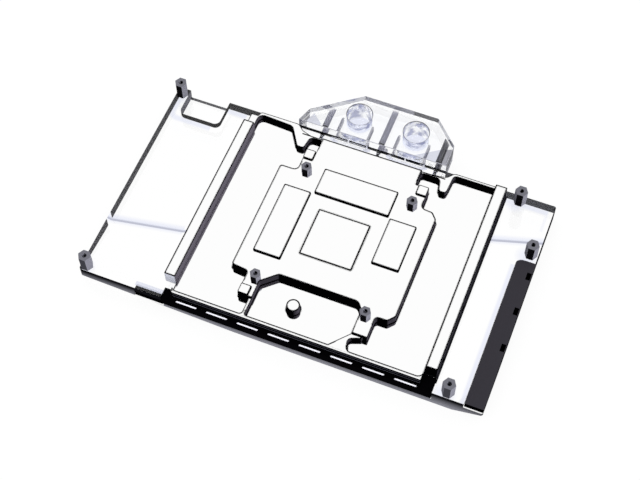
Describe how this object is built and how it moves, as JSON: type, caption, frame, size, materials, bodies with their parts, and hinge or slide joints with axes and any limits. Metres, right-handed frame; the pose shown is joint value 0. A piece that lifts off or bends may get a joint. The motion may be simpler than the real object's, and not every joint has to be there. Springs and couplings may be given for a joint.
{
  "type": "gpu water block",
  "caption": "Full-cover graphics card water block: clear body with a plated cold plate, hexagon standoffs, a port terminal and a light bar.",
  "frame": {"origin": "centre of the graphics chip's pad, on the outer face of the clear body", "axes": "+X along the card towards the end cover, +Y across the card towards the port terminal, +Z towards the card"},
  "size_m": [0.2034, 0.1423, 0.0195],
  "materials": {
    "clear_acrylic": "polished clear acrylic",
    "nickel_plate": "nickel-plated copper, polished",
    "steel_sheet": "stamped stainless sheet",
    "seal_rubber": "moulded nitrile rubber",
    "screw_steel": "stainless",
    "black_plastic": "moulded black ABS",
    "white_plastic": "milky diffuser plastic",
    "board": "glass-fibre board",
    "led_white": "lamp package",
    "cover_plastic": "moulded matte black",
    "standoff_metal": "black-nickel plated brass"
  },
  "bodies": {
    "root": {"clear_body": "clear_acrylic", "terminal_block": "clear_acrylic", "cold_plate": "nickel_plate", "jet_plate": "steel_sheet", "main_seal": "seal_rubber", "terminal_seals": "seal_rubber", "terminal_screws": "screw_steel", "body_screws": "screw_steel", "led_cover": "black_plastic", "led_diffuser": "white_plastic", "led_board": "board", "led_chips": "led_white", "led_cover_screws": "screw_steel", "end_cover": "cover_plastic", "outer_standoff_1": "standoff_metal", "outer_standoff_2": "standoff_metal", "outer_standoff_3": "standoff_metal", "outer_standoff_4": "standoff_metal", "outer_standoff_5": "standoff_metal", "inner_standoff_1": "standoff_metal", "inner_standoff_2": "standoff_metal", "inner_standoff_3": "standoff_metal", "inner_standoff_4": "standoff_metal"}
  },
  "joints": []
}
